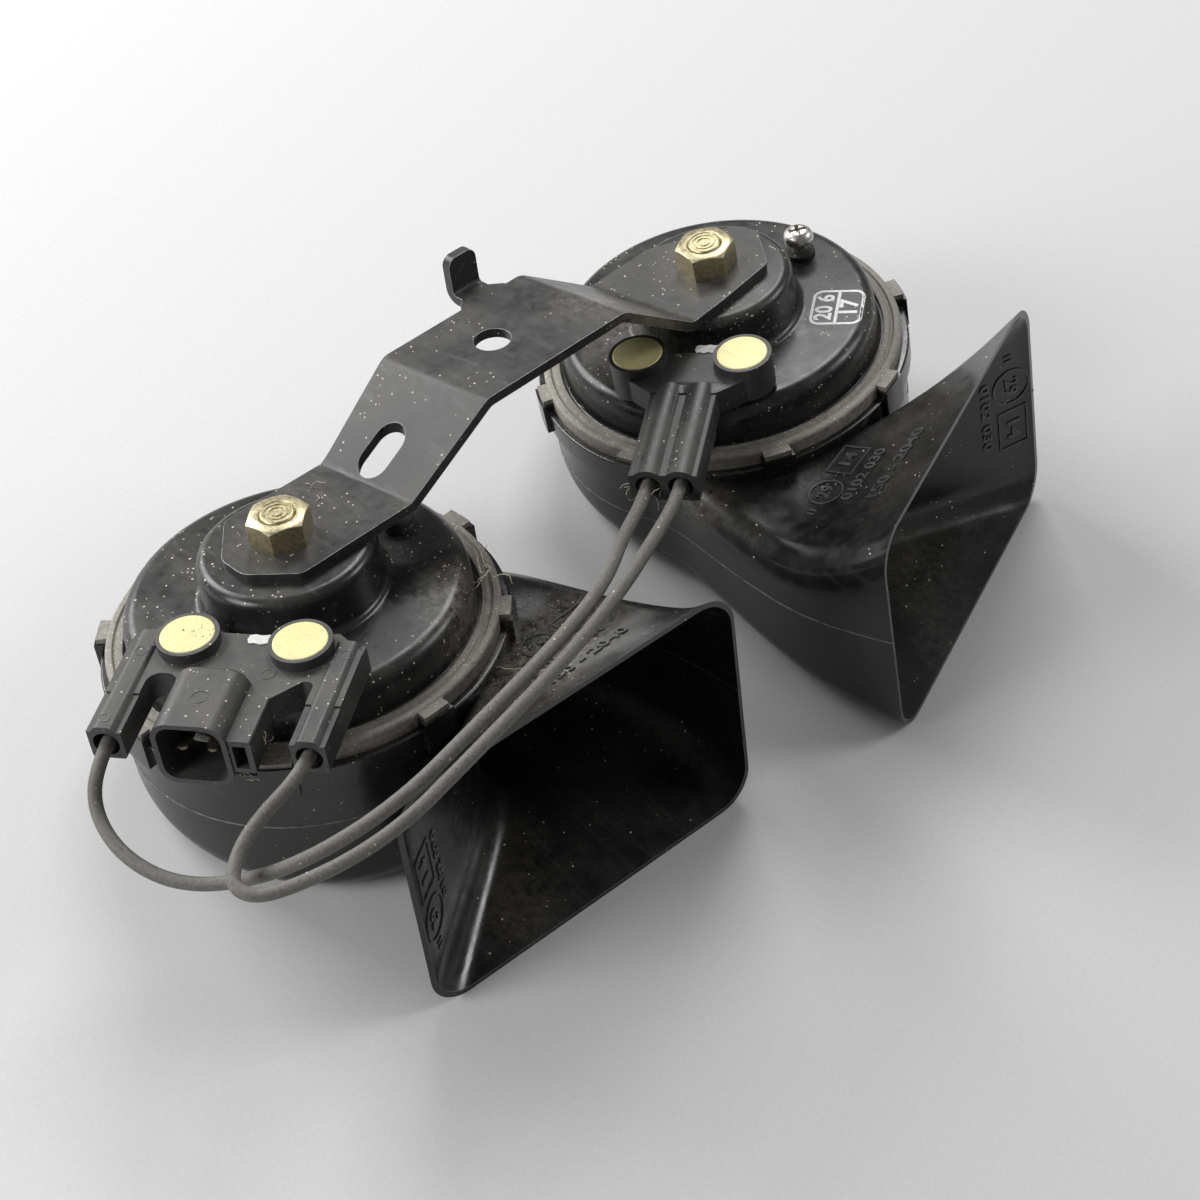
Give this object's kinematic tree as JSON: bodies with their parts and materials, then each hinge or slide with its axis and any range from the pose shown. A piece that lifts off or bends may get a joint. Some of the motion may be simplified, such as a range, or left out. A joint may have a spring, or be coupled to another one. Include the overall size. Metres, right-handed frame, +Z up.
{
  "type": "car horn",
  "caption": "Pair of mirrored snail horns with flared rectangular mouths on a bent strip bracket, joined by thin wires, with an open connector socket.",
  "frame": {"origin": "middle of the footprint of the horns and bracket, on the floor they lie on", "axes": "+Z up, +X towards the mouths, +Y from the left horn to the right horn, in the pose of the picture"},
  "size_m": [0.15, 0.2626, 0.0779],
  "materials": {
    "trumpet_plastic": "semi-gloss black polyamide, dusty",
    "housing_paint": "semi-gloss black paint on drawn steel",
    "ring_steel": "blackened steel, dusty",
    "gasket_paper": "oiled paper board",
    "spring_steel": "bare spring steel",
    "soft_iron": "zinc plated soft iron",
    "bobbin_plastic": "natural polyamide",
    "copper_wire": "enamelled copper",
    "insulating_board": "hard paper board",
    "contact_bronze": "spring bronze",
    "yellow_passivate": "pale yellow passivated steel, satin",
    "screw_steel": "zinc plated steel",
    "seal_rubber": "black rubber",
    "yellow_zinc": "yellow zinc on steel, dull",
    "pad_white": "white insulating sheet",
    "tinned_brass": "tinned brass",
    "connector_plastic": "black moulded plastic, dusty",
    "bracket_coat": "black coat worn bright on the edges, dusty",
    "wire_sheath": "grey dusted wire sheath"
  },
  "bodies": {
    "root": {"left_adjusting_screw": "screw_steel", "left_armature": "soft_iron", "left_bobbin": "bobbin_plastic", "left_clamp_ring": "ring_steel", "left_connector_block": "connector_plastic", "left_diaphragm": "spring_steel", "left_fixed_contact": "contact_bronze", "left_gaskets": "gasket_paper", "left_housing": "housing_paint", "left_insulating_pad": "pad_white", "left_insulators": "insulating_board", "left_moving_contact": "contact_bronze", "left_nut": "yellow_zinc", "left_pole_core": "soft_iron", "left_rivets": "yellow_passivate", "left_screw_washer": "seal_rubber", "left_terminals": "tinned_brass", "left_trumpet_lower": "trumpet_plastic", "left_trumpet_roof": "trumpet_plastic", "left_trumpet_upper": "trumpet_plastic", "left_winding": "copper_wire", "mounting_bracket": "bracket_coat", "right_adjusting_screw": "screw_steel", "right_armature": "soft_iron", "right_bobbin": "bobbin_plastic", "right_clamp_ring": "ring_steel", "right_connector_block": "connector_plastic", "right_diaphragm": "spring_steel", "right_fixed_contact": "contact_bronze", "right_gaskets": "gasket_paper", "right_housing": "housing_paint", "right_insulating_pad": "pad_white", "right_insulators": "insulating_board", "right_moving_contact": "contact_bronze", "right_nut": "yellow_zinc", "right_pole_core": "soft_iron", "right_rivets": "yellow_passivate", "right_screw_washer": "seal_rubber", "right_terminals": "tinned_brass", "right_trumpet_lower": "trumpet_plastic", "right_trumpet_roof": "trumpet_plastic", "right_trumpet_upper": "trumpet_plastic", "right_winding": "copper_wire", "wire_1": "wire_sheath", "wire_2": "wire_sheath"}
  },
  "joints": []
}
